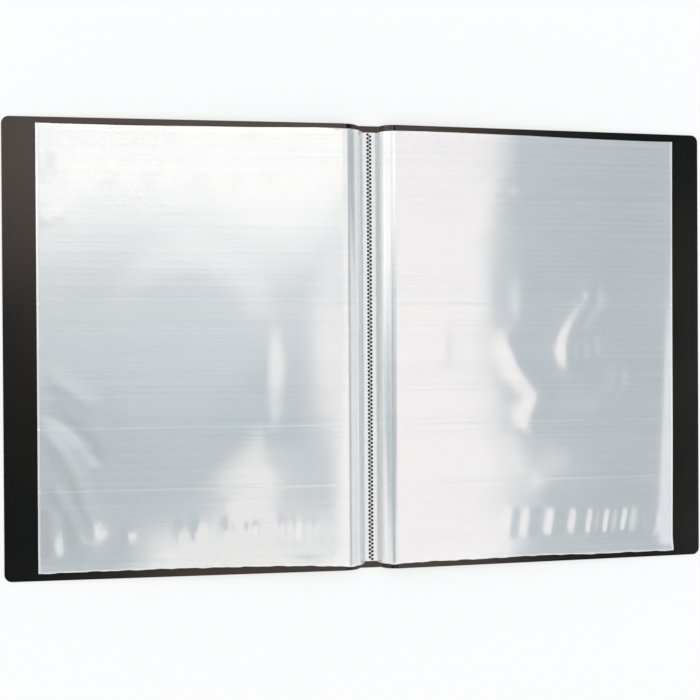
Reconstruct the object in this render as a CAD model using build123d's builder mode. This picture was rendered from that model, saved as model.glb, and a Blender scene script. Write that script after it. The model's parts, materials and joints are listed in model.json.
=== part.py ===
"""Clear pocket display book for A4 sheets, lying open at its middle.

X runs across the open book, front cover at -X and back cover at +X. Y runs along the spine, with the
pocket mouths at +Y. Z points up from the surface that the book lies on, and the origin is on that
surface under the middle of the spine. The right-hand half is drawn and the left-hand half mirrors it.

The cover is one plastic sheet: a narrow spine panel, a scored and curved hinge strip on each side of it,
and two stiff panels. Each panel stands a little high at its hinge and slopes down to its outer edge.
The clear pockets lie on the panels in two stacks, and their inner margins run down into the gutter,
where one welded strip holds them all to the spine.
"""

import os
from math import asin, cos, sin

from build123d import *

# Cover sheet
cover_height = 310.0
panel_width = 229.0
cover_thickness = 0.8
corner_radius = 5.0
spine_width = 15.0

# Scored hinge between the spine and a panel: its width on plan, its rise and its thickness
hinge_reach = 10.5
hinge_lift = 6.5
hinge_thickness = 0.5

# Shallow line pressed into the inner face of each panel, along its three free edges
border_inset = 4.0
border_width = 1.0
border_depth = 0.15

# Pockets: two films with room for paper between them, sealed at the outer side and folded at the bottom
pockets_per_side = 10
pocket_height = 300.0
pocket_reach = 206.0
film = 0.08
pocket_gap = 0.14
side_seal = 1.5
bottom_fold = 1.0
pocket_clearance = 0.2
stack_clearance = 0.3
root_clearance = 0.1

# Weld strip that holds every film to the spine, with two staggered rows of weld dots
weld_width = 9.2
weld_layer = 0.2
dot_diameter = 1.95
dot_depth = 0.3
dot_pitch = 2.715
dot_row_spacing = 1.7

# Worked out from the sizes above
panel_slope = asin(hinge_lift / panel_width)
pocket_thickness = 2 * film + pocket_gap
pocket_pitch = pocket_thickness + pocket_clearance
crease_x = spine_width / 2
root_x = crease_x + hinge_reach
weld_top = cover_thickness + pockets_per_side * weld_layer
dots_per_row = int((pocket_height - dot_diameter - dot_pitch / 2) / dot_pitch) + 1

# Directions of the right-hand panel: along it towards its outer edge, and square to it on its inner side
along = Vector(cos(panel_slope), 0, -sin(panel_slope))
inward = Vector(sin(panel_slope), 0, cos(panel_slope))


def panel_plane(height):
    """Plane parallel to the right-hand panel, that far above its outer face, starting at its hinge edge."""
    return Plane(origin=Vector(root_x, 0, hinge_lift) + inward * height, x_dir=along, z_dir=inward)


def root_point(height):
    """Point of the panel's hinge edge in the XZ section, that far above its outer face."""
    return (root_x + inward.X * height, hinge_lift + inward.Z * height)


def pocket_base(level):
    """Height of a pocket's lower face above the panel's outer face, counted from the lowest pocket."""
    return cover_thickness + stack_clearance + level * pocket_pitch


def panel_layer(base, depth, inset, mode):
    """Layer of the panel, square at the hinge and rounded at its outer corners, inset from its free edges."""
    with BuildSketch(panel_plane(base)) as outline:
        with Locations(((panel_width - inset) / 2, 0)):
            Rectangle(panel_width - inset, cover_height - 2 * inset)
        fillet(outline.vertices().group_by(Axis.X)[-1], corner_radius)
    extrude(outline.sketch, amount=depth, mode=mode)


def bent_sheet(upper_start, upper_end, lower_start, lower_end):
    """Section of a sheet that leaves the panel's hinge edge in line with it and bends down to the gutter."""
    inboard = (-along.X, -along.Z)
    with BuildSketch(Plane.XZ) as section:
        with BuildLine():
            TangentArc(upper_start, upper_end, tangent=inboard)
            Line(upper_end, lower_end)
            TangentArc(lower_start, lower_end, tangent=inboard)
            Line(lower_start, upper_start)
        make_face()
    return section.sketch


def pocket_strip(base, thickness, near, far, bottom, top):
    """Flat strip parallel to the panel, from near to far of its hinge edge and from bottom to top."""
    with BuildPart() as strip:
        with BuildSketch(panel_plane(base)):
            with Locations(((near + far) / 2, (bottom + top) / 2)):
                Rectangle(far - near, top - bottom)
        extrude(amount=thickness)
    return strip.part


def pocket_pieces(level):
    """The two films, the side seal and the bottom fold of one pocket, whose mouth is open at the top."""
    low, high = -pocket_height / 2, pocket_height / 2
    lower = pocket_base(level)
    inside = lower + film
    upper = inside + pocket_gap
    seal_start = pocket_reach - side_seal
    return [
        pocket_strip(lower, film, root_clearance, pocket_reach, low, high),
        pocket_strip(upper, film, root_clearance, pocket_reach, low, high),
        pocket_strip(inside, pocket_gap, seal_start, pocket_reach, low, high),
        pocket_strip(inside, pocket_gap, root_clearance, seal_start, low, low + bottom_fold),
    ]


def save(piece, name):
    """Label a finished piece and write it under its own name."""
    piece.label = name
    export_step(piece, f"parts/{name}.step")


os.makedirs("parts", exist_ok=True)

with BuildPart() as back_cover:
    panel_layer(0, cover_thickness, 0, Mode.ADD)
    panel_layer(cover_thickness, -border_depth, border_inset, Mode.SUBTRACT)
    panel_layer(cover_thickness - border_depth, border_depth, border_inset + border_width, Mode.ADD)
save(back_cover.part, "back_cover")

with BuildPart() as front_cover:
    mirror(back_cover.part, about=Plane.YZ)
save(front_cover.part, "front_cover")

with BuildPart() as spine_panel:
    with BuildSketch(Plane.XY):
        Rectangle(spine_width, cover_height)
    extrude(amount=cover_thickness)
save(spine_panel.part, "spine_panel")

with BuildPart() as back_hinge_strip:
    hinge_section = bent_sheet(
        root_point(hinge_thickness),
        (crease_x, cover_thickness),
        root_point(0),
        (crease_x, 0),
    )
    extrude(hinge_section, amount=cover_height / 2, both=True)
save(back_hinge_strip.part, "back_hinge_strip")

with BuildPart() as front_hinge_strip:
    mirror(back_hinge_strip.part, about=Plane.YZ)
save(front_hinge_strip.part, "front_hinge_strip")

with BuildPart() as weld_strip:
    with BuildSketch(Plane.XY.offset(cover_thickness)):
        Rectangle(weld_width, pocket_height)
    extrude(amount=weld_top - cover_thickness)
    with BuildSketch(Plane.XY.offset(weld_top)):
        stagger = (dot_row_spacing / 2, -dot_pitch / 4)
        with Locations(stagger, (-stagger[0], -stagger[1])):
            with GridLocations(dot_row_spacing, dot_pitch, 1, dots_per_row):
                Circle(dot_diameter / 2)
    extrude(amount=-dot_depth, mode=Mode.SUBTRACT)
save(weld_strip.part, "weld_strip")

with BuildPart() as right_film_roots:
    for level in range(pockets_per_side):
        middle = pocket_base(level) + pocket_thickness / 2
        layer_middle = cover_thickness + (level + 0.5) * weld_layer
        root_section = bent_sheet(
            root_point(middle + film),
            (weld_width / 2, layer_middle + film),
            root_point(middle - film),
            (weld_width / 2, layer_middle - film),
        )
        extrude(root_section, amount=pocket_height / 2, both=True)
save(right_film_roots.part, "right_film_roots")

with BuildPart() as left_film_roots:
    mirror(right_film_roots.part, about=Plane.YZ)
save(left_film_roots.part, "left_film_roots")

for number in range(1, pockets_per_side + 1):
    pieces = pocket_pieces(pockets_per_side - number)
    mirrored_pieces = [mirror(piece, about=Plane.YZ) for piece in pieces]
    save(Compound(children=pieces), f"right_pocket_{number:02d}")
    save(Compound(children=mirrored_pieces), f"left_pocket_{number:02d}")
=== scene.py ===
"""Looks of the clear pocket display book: films, cover sheet, stage, light and camera."""
import json
from math import asin, cos, radians, sin

import bpy
import numpy as np
from mathutils import Matrix, Vector


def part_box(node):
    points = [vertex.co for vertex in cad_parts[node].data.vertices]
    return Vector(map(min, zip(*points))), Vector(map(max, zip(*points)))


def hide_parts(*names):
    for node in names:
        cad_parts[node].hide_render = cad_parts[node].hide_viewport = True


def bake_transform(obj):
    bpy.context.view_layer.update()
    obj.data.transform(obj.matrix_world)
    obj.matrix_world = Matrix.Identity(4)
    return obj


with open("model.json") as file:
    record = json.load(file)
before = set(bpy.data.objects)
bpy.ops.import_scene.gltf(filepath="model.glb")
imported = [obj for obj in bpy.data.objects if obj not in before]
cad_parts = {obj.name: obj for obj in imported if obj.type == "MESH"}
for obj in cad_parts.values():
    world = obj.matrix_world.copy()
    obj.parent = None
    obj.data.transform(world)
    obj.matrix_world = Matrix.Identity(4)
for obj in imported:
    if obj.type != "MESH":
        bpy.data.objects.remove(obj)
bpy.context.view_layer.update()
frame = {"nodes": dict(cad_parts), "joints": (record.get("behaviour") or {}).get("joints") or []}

mm = 0.001
right_angle = 90
most_pockets = 99

# Sizes read from the frame
joints = {joint["name"]: joint for joint in frame["joints"]}
pocket_numbers = [
    number
    for number in range(1, most_pockets + 1)
    if f"right_pocket_{number:02d}" in frame["nodes"]
]
pocket_count = len(pocket_numbers)
top_level = pocket_count - 1
slope = radians(-joints["back_cover_hinge"]["range_deg"][0] - right_angle)
along = np.array([cos(slope), -sin(slope)])
inward = np.array([sin(slope), cos(slope)])
weld_low, weld_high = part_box("weld_strip")
weld_half_width = weld_high.x
weld_layer = (weld_high.z - weld_low.z) / pocket_count
spine_low, spine_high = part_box("spine_panel")
sheet_thickness = spine_high.z
pocket_bottom, pocket_top = weld_low.y, weld_high.y

# Sizes of the films
film = 0.08 * mm
side_seal = 1.5 * mm
bottom_fold = 0.5 * mm
mouth_start = 2.0 * mm
mouth_depth = 5.0 * mm
seam_x = 10.5 * mm

# Steps of the film meshes; the page's are across it and up it
bend_steps = 8
seal_steps = 4
fold_steps = 2
top_page_steps = (92, 128)
lower_page_steps = (50, 68)
mouth_points = 6
root_points = 14

# Hinge strips: thickness, depth of their scores, reach of a score as a share of the strip, points across
strip_thickness = 0.5 * mm
score_depth = 0.22 * mm
score_share = 0.06
strip_points = 40

# Faces that meet at more than this many degrees show a hard edge
hard_angle = 40

# Lines that drawing the film leaves across the pages: their places along the spine and half their width
line_places = (29.8 * mm, -53.5 * mm, -95.0 * mm)
line_reach = 0.5 * mm

# How much of the light one layer of film holds back: on the pages, in the bend and where it is sealed
film_alpha = 0.28
root_alpha = 0.4
seal_alpha = 0.5
film_metallic = 0.4

# How far the ends of the pockets lie off their place, in millimetres, at places along the page from its root
edge_places = (0, 20, 40, 65, 95, 120, 145, 170, 190, 206)
top_shifts = {
    -1: (0.3, 0.6, 0.3, -0.2, -0.35, -0.7, -0.9, -0.75, -0.65, -0.3),
    1: (-0.3, -0.1, -0.1, -0.4, -0.65, -1.2, -1.5, -1.7, -1.8, -1.5),
}
bottom_shifts = {
    -1: (-0.9, 0.3, 1.0, 1.4, 1.65, 1.9, 1.65, 1.65, 1.4, 1.1),
    1: (-0.4, 0.4, 0.35, 0.4, 1.0, 0.8, 0.1, 0.3, 0.2, 0.0),
}

# Unevenness of the cut bottom edges, in millimetres: its height and the two lengths that it repeats over
ragged_height = 0.2
ragged_lengths = (2.3, 7.9)

# The pocket whose bottom edge shows under the uppermost one: how much rougher it is and how far lower it lies
long_pocket = 2
long_roughness = 2
long_drop = 0.35

side_names = {-1: "left", 1: "right"}
strips = {-1: "front_hinge_strip", 1: "back_hinge_strip"}


# Node helpers


def new_material(name):
    """Empty material with a Principled shader on its output; gives the material, its nodes and the shader."""
    material = bpy.data.materials.new(name)
    material.use_nodes = True
    nodes = material.node_tree.nodes
    return material, nodes, nodes["Principled BSDF"]


def link(material, source, target):
    """Join an output socket to an input socket."""
    material.node_tree.links.new(source, target)


def scaled_coordinates(material, nodes, scale):
    """Object coordinates, which are the frame's metres, stretched by a factor for each axis."""
    place = nodes.new("ShaderNodeTexCoord")
    stretch = nodes.new("ShaderNodeMapping")
    stretch.inputs["Scale"].default_value = scale
    link(material, place.outputs["Object"], stretch.inputs["Vector"])
    return stretch.outputs["Vector"]


def coordinates(material, nodes):
    """The frame's X, Y and Z, by name."""
    split = nodes.new("ShaderNodeSeparateXYZ")
    link(material, scaled_coordinates(material, nodes, (1, 1, 1)), split.inputs["Vector"])
    return split.outputs


def noise(material, nodes, cells, detail):
    """Noise over the frame, with a number of cells per metre along each axis."""
    texture = nodes.new("ShaderNodeTexNoise")
    texture.inputs["Scale"].default_value = 1
    texture.inputs["Detail"].default_value = detail
    link(material, scaled_coordinates(material, nodes, cells), texture.inputs["Vector"])
    return texture.outputs["Fac"]


def ramp(material, nodes, value, low, high, to_low, to_high):
    """Value brought smoothly from one range to another."""
    node = nodes.new("ShaderNodeMapRange")
    node.interpolation_type = "SMOOTHSTEP"
    node.inputs["From Min"].default_value = low
    node.inputs["From Max"].default_value = high
    node.inputs["To Min"].default_value = to_low
    node.inputs["To Max"].default_value = to_high
    link(material, value, node.inputs["Value"])
    return node.outputs["Result"]


def mix_colours(material, nodes, share, first, second):
    """Colour between two colours, each given or linked, by a share from 0 to 1."""
    node = nodes.new("ShaderNodeMix")
    node.data_type = "RGBA"
    colour_inputs = [socket for socket in node.inputs if socket.type == "RGBA"]
    for socket, colour in zip(colour_inputs, (first, second)):
        if isinstance(colour, tuple):
            socket.default_value = (*colour, 1)
        else:
            link(material, colour, socket)
    link(material, share, node.inputs["Factor"])
    return [socket for socket in node.outputs if socket.type == "RGBA"][0]


def math_node(material, nodes, operation, first, second):
    """Result of an operation on two values, each given or linked."""
    node = nodes.new("ShaderNodeMath")
    node.operation = operation
    for socket, value in zip(node.inputs, (first, second)):
        if isinstance(value, (int, float)):
            socket.default_value = value
        else:
            link(material, value, socket)
    return node.outputs["Value"]


def apart(material, nodes, value, place):
    """How far a value lies from a place, on either side of it."""
    aside = math_node(material, nodes, "SUBTRACT", value, place)
    return math_node(material, nodes, "ABSOLUTE", aside, 0)


def bump(material, nodes, height, strength, distance):
    """Bump from a height."""
    node = nodes.new("ShaderNodeBump")
    node.inputs["Strength"].default_value = strength
    node.inputs["Distance"].default_value = distance
    link(material, height, node.inputs["Height"])
    return node.outputs["Normal"]


# Materials


def cover_material():
    """Black sheet plastic: satin, with a fine pressed grain, a little unevenness and paler score lines."""
    material, nodes, shader = new_material("cover_sheet")
    grain = noise(material, nodes, cells=(1400, 1400, 1400), detail=2)
    cloud = noise(material, nodes, cells=(14, 14, 14), detail=3)
    black = (0.003, 0.0017, 0.001)
    worn_black = (0.0055, 0.0035, 0.0025)
    stressed = (0.2, 0.2, 0.19)
    colour = mix_colours(material, nodes, cloud, black, worn_black)
    aside = apart(material, nodes, coordinates(material, nodes)["X"], 0)
    off_score = apart(material, nodes, aside, spine_high.x)
    stress = ramp(material, nodes, off_score, low=0.2 * mm, high=1.1 * mm, to_low=0.2, to_high=0)
    colour = mix_colours(material, nodes, stress, colour, stressed)
    link(material, colour, shader.inputs["Base Color"])
    satin = ramp(material, nodes, cloud, low=0.3, high=0.7, to_low=0.14, to_high=0.18)
    link(material, satin, shader.inputs["Roughness"])
    link(material, bump(material, nodes, grain, strength=0.12, distance=0.06 * mm), shader.inputs["Normal"])
    shader.inputs["Specular IOR Level"].default_value = 0.52
    shader.inputs["Specular Tint"].default_value = (1.0, 0.88, 0.82, 1.0)
    return material


def film_material(name, alpha, pale, deep, rough):
    """Clear film: glossy, with the faint lines that drawing the film leaves across the page."""
    material, nodes, shader = new_material(name)
    drawn = noise(material, nodes, cells=(1.2, 480, 20), detail=2)
    lines = ramp(material, nodes, drawn, low=0.36, high=0.64, to_low=0, to_high=1)
    cloud = noise(material, nodes, cells=(22, 22, 22), detail=0)
    link(material, mix_colours(material, nodes, lines, deep, pale), shader.inputs["Base Color"])
    place_along = coordinates(material, nodes)["Y"]
    line_core = line_reach / 3
    clearest = 0.8 * rough
    haziest = 1.3 * rough
    off_line = 1.0
    for place in line_places:
        off_line = math_node(material, nodes, "MINIMUM", off_line, apart(material, nodes, place_along, place))
    scuff = ramp(material, nodes, off_line, low=line_core, high=line_reach, to_low=0.12, to_high=0)
    haze = ramp(material, nodes, cloud, low=0.35, high=0.65, to_low=clearest, to_high=haziest)
    link(material, math_node(material, nodes, "ADD", haze, scuff), shader.inputs["Roughness"])
    link(material, bump(material, nodes, lines, strength=0.16, distance=0.01 * mm), shader.inputs["Normal"])
    shader.inputs["Metallic"].default_value = film_metallic
    shader.inputs["Alpha"].default_value = alpha
    return material


def weld_material():
    """Fused film over the black spine, which shows through where the weld dots are pressed in; between the
    dots the film's reflection is painted in as a pale colour.
    """
    material, nodes, shader = new_material("weld")
    dot_edge = weld_high.z - 0.06 * mm
    dot_black = (0.002, 0.002, 0.002)
    # Pale colour between the dots: painted reflection, standing in for the highlights of the stacked clear
    # film
    painted_film_reflection = (0.82, 0.82, 0.815)
    height = coordinates(material, nodes)["Z"]
    share = ramp(material, nodes, height, low=dot_edge, high=weld_high.z, to_low=0, to_high=1)
    cloud = noise(material, nodes, cells=(300, 120, 300), detail=3)
    link(material, mix_colours(material, nodes, share, dot_black, painted_film_reflection), shader.inputs["Base Color"])
    gloss = ramp(material, nodes, cloud, low=0.3, high=0.7, to_low=0.18, to_high=0.34)
    link(material, gloss, shader.inputs["Roughness"])
    link(material, bump(material, nodes, cloud, strength=0.3, distance=0.2 * mm), shader.inputs["Normal"])
    return material


cover_sheet = cover_material()
clear_film = film_material("clear_film", film_alpha, (0.98, 0.987, 0.992), (0.936, 0.955, 0.965), rough=0.07)
root_film = film_material("root_film", root_alpha, (0.99, 0.994, 0.996), (0.98, 0.986, 0.989), rough=0.12)
film_seal = film_material("film_seal", seal_alpha, (0.985, 0.99, 0.994), (0.965, 0.975, 0.981), rough=0.2)
weld = weld_material()


# Film sections


class Section:
    """Path of one pocket's film across the right-hand half, in X and Z: up from the weld and along the panel.

    Distances run along the film from the hinge edge of the panel, outwards, and are negative in the bend.
    """

    def __init__(self, number):
        low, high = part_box(f"right_pocket_{number:02d}")
        width, height = high.x - low.x, high.z - low.z
        self.level = pocket_count - number
        self.length = (width * cos(slope) - height * sin(slope)) / cos(2 * slope)
        self.thickness = (height * cos(slope) - width * sin(slope)) / cos(2 * slope)
        near_corner = np.array([low.x, high.z - self.thickness * cos(slope)])
        self.start = near_corner + inward * self.thickness / 2
        foot = np.array([weld_half_width, weld_low.z + (self.level + 0.5) * weld_layer])
        self.radius, self.centre, bend = bend_circle(self.start, foot)
        self.foot_distance = -bend * self.radius
        self.seam_distance = -(slope - asin((seam_x - self.centre[0]) / self.radius)) * self.radius

    def points(self, distance, offset):
        """Points at those distances, set off square to the film."""
        turn = np.clip(-distance, 0, None) / self.radius
        run = np.clip(distance, 0, None)[..., None] * along
        return self.centre + (self.radius + offset)[..., None] * square_to_bend(turn) + run


def bend_circle(start, end):
    """Radius, centre and angle of an arc that leaves a panel's hinge edge in line with it, up to its end."""
    chord = end - start
    radius = chord @ chord / (-2 * chord @ inward)
    return radius, start - inward * radius, 2 * asin(np.hypot(*chord) / 2 / radius)


def square_to_bend(turn):
    """Directions square to a bent sheet, at angles along its bend."""
    return np.cos(turn)[..., None] * inward - np.sin(turn)[..., None] * along


sections = {number: Section(number) for number in pocket_numbers}


def end_shifts(side, number, s):
    """How far a pocket's bottom and top lie off their place along the spine, at distances along the page."""
    top = np.interp(s, edge_places, top_shifts[side])
    bottom = np.interp(s, edge_places, bottom_shifts[side])
    short, long = ragged_lengths
    ragged = ragged_height * np.sin(s / short) * np.sin(s / long + number)
    if number == long_pocket:
        ragged = long_roughness * ragged - long_drop
    return (bottom + ragged) * mm, top * mm


def pocket_span(side, number):
    """Bottom and top of a pocket at its root."""
    bottom, top = end_shifts(side, number, np.zeros(1))
    return pocket_bottom + bottom[0], pocket_top + top[0]


# Waves and creases of the pages, in millimetres: distance from the root, then place along the spine

# Each long wave: its height, the lengths that it turns over across and along the page, and its phase
waves = {
    -1: ((0.25, 34, 60, 0.8), (0.2, 58, -41, 2.1)),
    1: ((0.22, 40, -52, 1.1), (0.18, 66, 37, 0.3)),
}

# Each swelling: its centre, its radii and its height
marks_along_top = tuple(((place, 121), (6, 9), 0.18) for place in (51, 75, 99, 132, 158, 190))
marks_along_bottom = tuple(
    ((place, -126), (3.2, 7), rise)
    for place, rise in ((23, 0.12), (36, 0.14), (47, 0.1), (66, 0.22), (81, 0.25), (102, 0.3), (113, 0.15))
)
swellings = {
    -1: (
        ((148, -125), (3, 5), 0.26),
        ((175, -125), (9, 14), 0.35),
        ((201, -131), (8, 14), 0.4),
        ((60, -2), (15, 42), 0.58),
        ((78, -28), (12, 26), 0.25),
        *marks_along_bottom,
        *marks_along_top,
    ),
    1: (((93, 33), (9, 20), 0.17), ((140, -85), (30, 18), 0.6)),
}

# Each crease: its line, its width and its height
fingers_along_bottom = tuple(
    (((place + 2, -115), (place - 2, -137)), width, rise)
    for place, width, rise in (
        (81, 5, 0.12),
        (95, 5, 0.14),
        (114, 5, 0.22),
        (131, 4.8, 0.31),
        (143, 4.4, 0.46),
        (156, 4.4, 0.5),
        (170, 4.4, 0.54),
    )
)
creases = {
    -1: (
        (((199, -18), (191, -24), (180, -33), (166, -42)), 6, 0.22),
        (((203, -41), (193, -47), (184, -54), (175, -63), (170, -72), (167, -80)), 5, -0.5),
        (
            (
                *((202, -55), (194, -66), (188, -76), (182, -86)),
                *((178, -97), (175, -107), (170, -118), (168, -130)),
            ),
            5,
            0.5,
        ),
        (((197, -92), (191, -102), (185, -112), (182, -124), (180, -136)), 5, 0.42),
        (((198, -106), (196, -123), (195, -142)), 5, 0.36),
        (((203, 113), (196, 120), (188, 127)), 4, 0.12),
        (((203, 84), (195, 88), (187, 92)), 4, 0.1),
        (((53, -36), (58, -63), (62, -90)), 12, 0.1),
    ),
    1: (
        (
            (
                *((135, 49), (143, 40), (144, 33), (137, 24), (131, 14)),
                *((127, 6), (125, -3), (127, -12), (133, -24)),
            ),
            8,
            0.56,
        ),
        (((143, 12), (142, 2), (144, -12)), 6, 0.36),
        (((163, -8), (163, -26), (155, -37), (139, -46)), 6, 0.3),
        (((76, 13), (83, -4), (89, -14), (98, -26), (104, -33), (102, -42), (96, -51), (90, -59)), 9, 0.34),
        (((82, -57), (90, -68), (94, -77), (94, -87), (105, -94), (105, -104), (100, -117)), 11, 0.05),
        (((184, -119), (186, -130), (189, -140)), 3, 0.3),
        (((192, -121), (191, -136)), 3, 0.3),
        (((26, 26), (27, 1), (25, -24)), 9, 0.38),
        (((82, 110), (203, 112)), 4, 0.12),
        (((98, -97), (192, -100)), 5, 0.08),
        *fingers_along_bottom,
    ),
}

# Oval raised area of the left-hand page: its centre, its radii, its rim as a share of them, and its height
oval_centre = (106, -14)
oval_radii = (56, 78)
oval_rim = 0.45
oval_rise = 0.28

# Outer edge of the right-hand page, which curls down: where the curl starts at the top, how much nearer to
# the root it starts at the bottom, the stretches along the spine over which it moves and grows, its reach
# and its power
curl_top_start = 202
curl_bottom_gain = 9
curl_moves = (60, 180)
curl_grows = (90, 100)
curl_reach = 10
curl_power = 1.5

# How far from its root and from its folded bottom a page is held flat
root_hold = 40
bottom_hold = 10


def smooth(share):
    """Share from 0 to 1 that leaves and reaches its ends gently."""
    share = np.clip(share, 0, 1)
    return share * share * (3 - 2 * share)


def swell(s, y, centre, radii):
    """Round or oval swelling, 1 at its centre."""
    return np.exp(-(((s - centre[0]) / radii[0]) ** 2) - ((y - centre[1]) / radii[1]) ** 2)


def ridge(s, y, line, width):
    """Narrow crest along a line of points, 1 on the line and tapered over a quarter of it at each end."""
    line = np.array(line, float)
    away = np.full_like(s, np.inf)
    place = np.zeros_like(s)
    for number, (start, end) in enumerate(zip(line[:-1], line[1:])):
        run = end - start
        share = np.clip(((s - start[0]) * run[0] + (y - start[1]) * run[1]) / (run @ run), 0, 1)
        distance = np.hypot(s - start[0] - share * run[0], y - start[1] - share * run[1])
        place = np.where(distance < away, (number + share) / (len(line) - 1), place)
        away = np.minimum(distance, away)
    taper = np.clip(4 * np.minimum(place, 1 - place), 0, 1)
    return np.exp(-((away / width) ** 2)) * taper * (2 - taper)


def oval(s, y):
    """The left-hand page's raised area, 1 inside and sloping to 0 over its rim."""
    away = np.hypot((s - oval_centre[0]) / oval_radii[0], (y - oval_centre[1]) / oval_radii[1])
    return smooth((1 + oval_rim / 2 - away) / oval_rim)


def curl(s, y):
    """How far the right-hand page's outer edge curls down."""
    start = curl_top_start - curl_bottom_gain * np.clip((curl_moves[0] - y) / curl_moves[1], 0, 1)
    grown = np.clip((curl_grows[0] - y) / curl_grows[1], 0, 1)
    return np.clip((s - start) / curl_reach, 0, None) ** curl_power * grown


def page_height(side, s, y):
    """Height of a page's waves and creases, which fade out towards its root and its folded bottom."""
    height = np.zeros_like(s)
    for rise, across, up, phase in waves[side]:
        height += rise * np.sin(s / across + y / up + phase)
    for centre, radii, rise in swellings[side]:
        height += rise * swell(s, y, centre, radii)
    for line, width, rise in creases[side]:
        height += rise * ridge(s, y, line, width)
    if side < 0:
        height += oval_rise * oval(s, y)
    else:
        height -= curl(s, y)
    return height * smooth(s / root_hold) * smooth((y - pocket_bottom / mm) / bottom_hold)


# Meshes


def mesh_object(name, points, faces, materials, face_materials):
    """Smooth mesh object in the frame, with hard edges only where faces meet at a steep angle."""
    mesh = bpy.data.meshes.new(name)
    mesh.from_pydata([tuple(point) for point in points], [], faces)
    for material in materials:
        mesh.materials.append(material)
    mesh.polygons.foreach_set("material_index", face_materials)
    mesh.shade_smooth()
    mesh.set_sharp_from_angle(angle=radians(hard_angle))
    mesh.validate()
    piece = bpy.data.objects.new(name, mesh)
    bpy.context.scene.collection.objects.link(piece)
    return piece


def spaced(*runs):
    """Places from several runs, each (start, end, number of steps), joined end to end."""
    places = [np.linspace(start, end, steps, endpoint=False) for start, end, steps in runs]
    return np.concatenate([*places, [runs[-1][1]]])


def sheet_points(side, section, columns, rows, half_gap, rank):
    """Grid of points of one film surface, that far above or below the middle of its pocket.

    Films higher in the stack, which have a higher rank, wave more than those held flat under them.
    """
    distance, place = np.meshgrid(columns, rows)
    s, y = distance / mm, place / mm
    bottom, top = end_shifts(side, pocket_count - section.level, s)
    height_share = (place - pocket_bottom) / (pocket_top - pocket_bottom)
    place = place + bottom + (top - bottom) * height_share
    films = 2 * pocket_count
    lift = (rank + 1) / films * page_height(side, s, y) * mm
    opening = np.clip(1 - distance / section.seam_distance, 0, 1)
    flat = section.points(distance, half_gap * opening + lift)
    return np.stack([side * flat[..., 0], place, flat[..., 1]], axis=-1)


def make_pocket(side, number):
    """One pocket: two films that meet at the root, side seal and folded bottom, with a mouth at the top."""
    section = sections[number]
    steps_across, steps_up = top_page_steps if section.level == top_level else lower_page_steps
    seal_start = section.length - side_seal
    columns = spaced(
        (section.seam_distance, 0, bend_steps),
        (0, seal_start, steps_across),
        (seal_start, section.length, seal_steps),
    )
    fold_end = pocket_bottom + bottom_fold
    rows = spaced((pocket_bottom, fold_end, fold_steps), (fold_end, pocket_top, steps_up))
    mouth_columns = np.linspace(mouth_start, seal_start, len(columns))
    mouth_rows = np.linspace(pocket_top - mouth_depth, pocket_top, mouth_points)
    half_gap = section.thickness / 2
    ranks = (2 * section.level + 1, 2 * section.level)
    bags = []
    for gap, across, up in ((half_gap, columns, rows), (half_gap - film, mouth_columns, mouth_rows)):
        faces = zip((1, -1), ranks)
        bags.append([sheet_points(side, section, across, up, sign * gap, rank) for sign, rank in faces])
    return pocket_object(f"{side_names[side]}_pocket_{number:02d}_film", *bags)


def bag_mesh(upper, lower, first):
    """Points and point numbers of two grids that share their first row and their first and last columns."""
    middle = (upper + lower) / 2
    upper[0], upper[:, 0], upper[:, -1] = middle[0], middle[:, 0], middle[:, -1]
    upper_ids = first + np.arange(upper[..., 0].size).reshape(upper.shape[:2])
    lower_ids = upper_ids.copy()
    own = lower_ids[1:, 1:-1]
    own[:] = first + upper_ids.size + np.arange(own.size).reshape(own.shape)
    points = np.concatenate([upper.reshape(-1, 3), lower[1:, 1:-1].reshape(-1, 3)])
    return points, upper_ids, lower_ids


def grid_faces(ids, flipped):
    """Four-sided faces of a grid of point numbers, row by row."""
    corners = np.stack([ids[:-1, :-1], ids[:-1, 1:], ids[1:, 1:], ids[1:, :-1]], axis=-1)
    if flipped:
        corners = corners[..., ::-1]
    return corners.reshape(-1, 4)


def pocket_object(name, outer_bag, inner_bag):
    """Closed mesh of a pocket: its outside, the hollow of its mouth and the rim between them."""
    outside, upper, lower = bag_mesh(*outer_bag, 0)
    hollow, upper_inside, lower_inside = bag_mesh(*inner_bag, len(outside))
    sheet_kinds = np.zeros((upper.shape[0] - 1, upper.shape[1] - 1), int)
    sheet_kinds[:fold_steps] = 1
    sheet_kinds[:, -seal_steps:] = 1
    faces = [grid_faces(upper, False), grid_faces(lower, True)]
    faces += [grid_faces(upper_inside, True), grid_faces(lower_inside, False)]
    hollow_faces = 2 * (upper_inside.shape[0] - 1) * (upper_inside.shape[1] - 1)
    kinds = [sheet_kinds.ravel(), sheet_kinds.ravel(), np.zeros(hollow_faces, int)]
    rims = ((upper[-1], upper_inside[-1], False), (lower[-1], lower_inside[-1], True))
    for rim, inner_rim, flipped in rims:
        faces.append(grid_faces(np.stack([rim, inner_rim]), flipped))
        kinds.append(np.ones(len(rim) - 1, int))
    points = np.concatenate([outside, hollow])
    all_faces = np.concatenate(faces).tolist()
    return mesh_object(name, points, all_faces, [clear_film, film_seal], np.concatenate(kinds))


def make_strip(name, lower, upper, spans, material):
    """Closed bent strips along the spine, each from its lower and upper line in X and Z and its ends in Y."""
    points, faces = [], []
    for under, over, span in zip(lower, upper, spans):
        outline = np.concatenate([under, over[::-1]])
        first = len(points)
        count = len(outline)
        for y in span:
            points.extend((x, y, z) for x, z in outline)
        for here in range(count):
            there = (here + 1) % count
            faces.append([first + here, first + there, first + count + there, first + count + here])
        half = count // 2
        for here in range(half - 1):
            end = [first + here, first + count - 1 - here, first + count - 2 - here, first + here + 1]
            faces.append(end)
            faces.append([count + corner for corner in end[::-1]])
    return mesh_object(name, points, faces, [material], [0] * len(faces))


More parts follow.
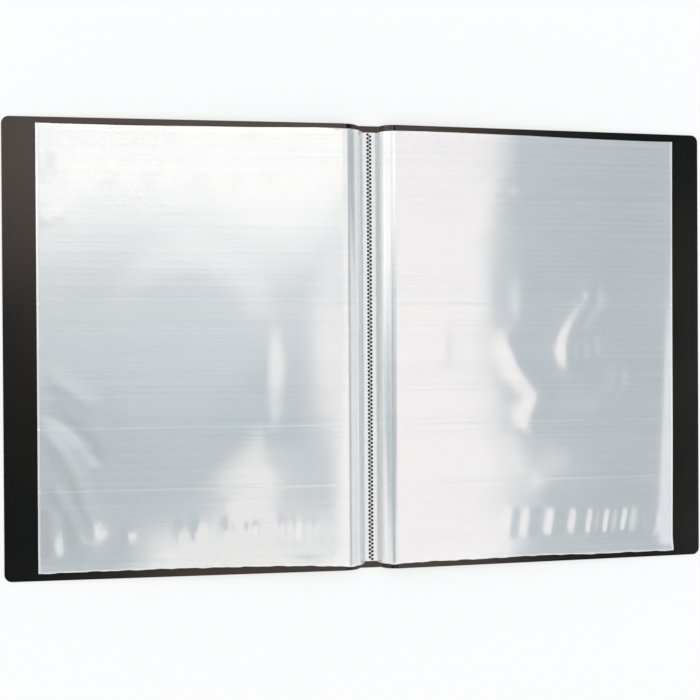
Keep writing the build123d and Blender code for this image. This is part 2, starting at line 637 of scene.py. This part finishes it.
def make_film_roots(side):
    """The films between the weld strip and the seam to each pocket."""
    lower, upper = [], []
    for section in sections.values():
        distance = np.linspace(section.foot_distance, section.seam_distance, root_points)
        for lines, offset in ((lower, -film), (upper, film)):
            line = section.points(distance, np.full_like(distance, offset))
            lines.append(line * (side, 1))
    spans = [pocket_span(side, number) for number in sections]
    return make_strip(f"{side_names[side]}_film_root", lower, upper, spans, root_film)


def make_hinge_strip(side):
    """Scored strip of the cover sheet between the spine and a panel, thinned along both score lines."""
    cover_low, cover_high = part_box("back_cover")
    root = np.array([cover_low.x, cover_high.z - sheet_thickness * cos(slope)])
    radius, centre, bend = bend_circle(root, np.array([spine_high.x, 0.0]))
    square = square_to_bend(np.linspace(bend, 0, strip_points))
    share = np.linspace(0, 1, strip_points)
    score = np.exp(-((share / score_share) ** 2)) + np.exp(-(((1 - share) / score_share) ** 2))
    depth = strip_thickness - score_depth * score
    under = centre + radius * square
    over = centre + (radius + depth)[:, None] * square
    mirror = (side, 1)
    spans = [(spine_low.y, spine_high.y)]
    return make_strip(strips[side] + "_skin", [under * mirror], [over * mirror], spans, cover_sheet)


# Dressing the frame

node_materials = {
    "front_cover": cover_sheet,
    "back_cover": cover_sheet,
    "spine_panel": cover_sheet,
    "weld_strip": weld,
}
for node, material in node_materials.items():
    frame["nodes"][node].data.materials.clear()
    frame["nodes"][node].data.materials.append(material)

for side in (-1, 1):
    for number in pocket_numbers:
        node = f"{side_names[side]}_pocket_{number:02d}"
        pocket = make_pocket(side, number)
        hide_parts(node)
        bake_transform(pocket)
    roots = make_film_roots(side)
    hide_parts(f"{side_names[side]}_film_roots")
    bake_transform(roots)
    strip = make_hinge_strip(side)
    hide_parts(strips[side])
    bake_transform(strip)


# Stage


def floor_material():
    """Pale floor that takes the shadow softly."""
    material, nodes, shader = new_material("floor")
    cloud = noise(material, nodes, cells=(3, 3, 3), detail=2)
    pale = (0.88, 0.88, 0.88)
    paler = (0.9, 0.9, 0.9)
    glow_share = 0.6
    link(material, mix_colours(material, nodes, cloud, pale, paler), shader.inputs["Base Color"])
    shader.inputs["Roughness"].default_value = 0.9
    shader.inputs["Specular IOR Level"].default_value = 0.0
    rays = nodes.new("ShaderNodeLightPath")
    seen = rays.outputs["Is Camera Ray"]
    for kind in ("Is Glossy Ray", "Is Transmission Ray"):
        seen = math_node(material, nodes, "MAXIMUM", seen, rays.outputs[kind])
    share = math_node(material, nodes, "MULTIPLY", seen, glow_share)
    glow = nodes.new("ShaderNodeEmission")
    blend = nodes.new("ShaderNodeMixShader")
    link(material, share, blend.inputs["Fac"])
    link(material, shader.outputs["BSDF"], blend.inputs[1])
    link(material, glow.outputs["Emission"], blend.inputs[2])
    link(material, blend.outputs["Shader"], nodes["Material Output"].inputs["Surface"])
    return material


def make_floor():
    """Large floor just under the book."""
    half = 6.0
    drop = 0.2 * mm
    corners = [(-half, -half, -drop), (half, -half, -drop), (half, half, -drop), (-half, half, -drop)]
    floor = mesh_object("floor", corners, [[0, 1, 2, 3]], [floor_material()], [0])


# The studio's areas lie on a flat ceiling: across it and up it, in shares of its height over the book.
# Each edge gives where an area starts and where it is whole, and each lean how far an edge moves for a step.
panel_left = (0.055, 0.1)
panel_left_lean = 0.12
panel_right = (0.362, 0.4)
panel_right_lean = -0.045
upper_edge = (0.03, 0.19)
upper_lean = 0.04
upper_share = 0.75
faint_edge = (-0.1, 0.03)
faint_side = (-0.29, -0.22)
lower_lean = 1.4
lower_slant = (-0.125, -0.08)
lower_top = (-0.14, -0.105)
lower_right = (0.02, 0.045)
lower_left = (-0.17, -0.1)
lowest_top = (-0.2, -0.165)
top_wall = (0.36, 0.55)
bottom_wall = (-0.8, -0.55)
right_wall = (0.52, 0.85)
right_wall_top = (0.1, 0.25)
left_wall = (-1.1, -0.7)
corner_side = (-0.31, -0.25)
corner_top = (-0.08, -0.02)
far_side = (-0.5, -0.34)
far_upper_bottom = (-0.1, 0.16)
far_upper_top = (0.5, 0.8)
far_lower_top = (-0.3, -0.18)
far_lower_bottom = (-0.8, -0.5)
gap_middle = 0.15
gap_fade = (0.2, 0.48)

# Heights of a direction, from 0 at the horizon to 1 straight up
least_height = 0.05
horizon_edge = (0.35, 0.6)
far_height = (0.25, 0.45)

# Light of the studio's areas; matt surfaces take the mean of them all from every side, which leaves no grain
gap_deep_light = (0.05, 0.135, 0.165)
gap_light = (0.23, 0.37, 0.42)
corner_light = (0.0, 0.03, 0.05)
panel_light = (1.74, 1.56, 1.51)
upper_light = (2.15, 2.05, 1.95)
lower_light = (1.4, 1.3, 1.22)
wall_light = (1.12, 1.16, 1.2)
horizon_light = (1.1, 1.13, 1.16)
far_light = (0.34, 0.47, 0.56)
far_upper_light = (2.15, 2.05, 1.98)
far_lower_light = (1.5, 1.42, 1.38)
mean_light = (1.05, 1.067, 1.085)


def make_world():
    """Studio of soft white walls, with a large white panel and a dimmer gap overhead."""
    world = bpy.data.worlds.new("studio")
    bpy.context.scene.world = world
    world.cycles.sampling_method = "NONE"
    world.use_nodes = True
    nodes = world.node_tree.nodes
    place = nodes.new("ShaderNodeTexCoord")
    split = nodes.new("ShaderNodeSeparateXYZ")
    link(world, place.outputs["Generated"], split.inputs["Vector"])
    rays = nodes.new("ShaderNodeLightPath")

    def math(operation, first, second):
        return math_node(world, nodes, operation, first, second)

    def both(first, second):
        return math("MULTIPLY", first, second)

    def either(first, second):
        return math("MAXIMUM", first, second)

    def leaning(value, by, lean):
        return math("SUBTRACT", value, math("MULTIPLY", by, lean))

    def rise(value, edge):
        return ramp(world, nodes, value, *edge, 0, 1)

    def fall(value, edge):
        return ramp(world, nodes, value, *edge, 1, 0)

    direction_height = split.outputs["Z"]
    height = math("MAXIMUM", direction_height, least_height)
    across = math("DIVIDE", split.outputs["X"], height)
    up = math("DIVIDE", split.outputs["Y"], height)

    left_edge = leaning(across, up, panel_left_lean)
    right_edge = leaning(across, up, panel_right_lean)
    left = fall(left_edge, panel_left)
    panel = both(rise(left_edge, panel_left), fall(right_edge, panel_right))

    tilted = leaning(up, across, upper_lean)
    faint = both(rise(tilted, faint_edge), rise(across, faint_side))
    strong = rise(tilted, upper_edge)
    upper = math("ADD", both(faint, 1 - upper_share), both(strong, upper_share))
    upper = both(upper, left)

    slant = leaning(up, across, lower_lean)
    lower = both(both(fall(slant, lower_slant), fall(across, lower_right)), fall(up, lower_top))
    lower = either(lower, fall(up, lowest_top))
    lower = both(lower, both(left, rise(across, lower_left)))

    walls = either(rise(up, top_wall), fall(up, bottom_wall))
    walls = either(walls, both(rise(across, right_wall), fall(up, right_wall_top)))
    walls = either(walls, fall(across, left_wall))
    horizon = fall(direction_height, horizon_edge)

    corner = both(fall(across, corner_side), fall(up, corner_top))
    far_left = both(fall(across, far_side), rise(direction_height, far_height))
    far_upper = both(far_left, both(rise(up, far_upper_bottom), fall(up, far_upper_top)))
    far_lower = both(far_left, both(fall(up, far_lower_top), rise(up, far_lower_bottom)))

    off_middle = apart(world, nodes, across, gap_middle)
    colour = mix_colours(world, nodes, fall(off_middle, gap_fade), gap_deep_light, gap_light)
    for share, light in (
        (corner, corner_light),
        (panel, panel_light),
        (upper, upper_light),
        (lower, lower_light),
        (walls, wall_light),
        (horizon, horizon_light),
        (far_left, far_light),
        (far_upper, far_upper_light),
        (far_lower, far_lower_light),
        (rays.outputs["Is Diffuse Ray"], mean_light),
    ):
        colour = mix_colours(world, nodes, share, colour, light)
    link(world, colour, nodes["Background"].inputs["Color"])


def make_camera():
    """Camera over the book, nearer to its left-hand page, as the photograph was taken."""
    picture_width = 700
    focal_pixels = 936.0
    distance = 656.4 * mm
    sideways = radians(-8.415)
    upwards = radians(0.262)
    roll = radians(-0.339)
    aim = Vector((-13.71 * mm, -1.99 * mm, 0))
    back = Vector((sin(sideways) * cos(upwards), sin(upwards), cos(sideways) * cos(upwards)))
    right = Vector((0, 1, 0)).cross(back).normalized()
    top = back.cross(right)
    turned_right = cos(roll) * right + sin(roll) * top
    turned_top = cos(roll) * top - sin(roll) * right
    data = bpy.data.cameras.new("camera")
    data.sensor_width = 36
    data.lens = focal_pixels / picture_width * data.sensor_width
    data.clip_start = 0.01
    camera = bpy.data.objects.new("camera", data)
    bpy.context.scene.collection.objects.link(camera)
    turn = Matrix((turned_right, turned_top, back)).transposed().to_4x4()
    camera.matrix_world = Matrix.Translation(aim + back * distance) @ turn
    bpy.context.scene.camera = camera


make_floor()
make_world()
make_camera()
scene = bpy.context.scene
scene.view_settings.view_transform = "Standard"
scene.cycles.max_bounces = 14
scene.cycles.glossy_bounces = 8
scene.cycles.diffuse_bounces = 6
scene.cycles.transparent_max_bounces = 32
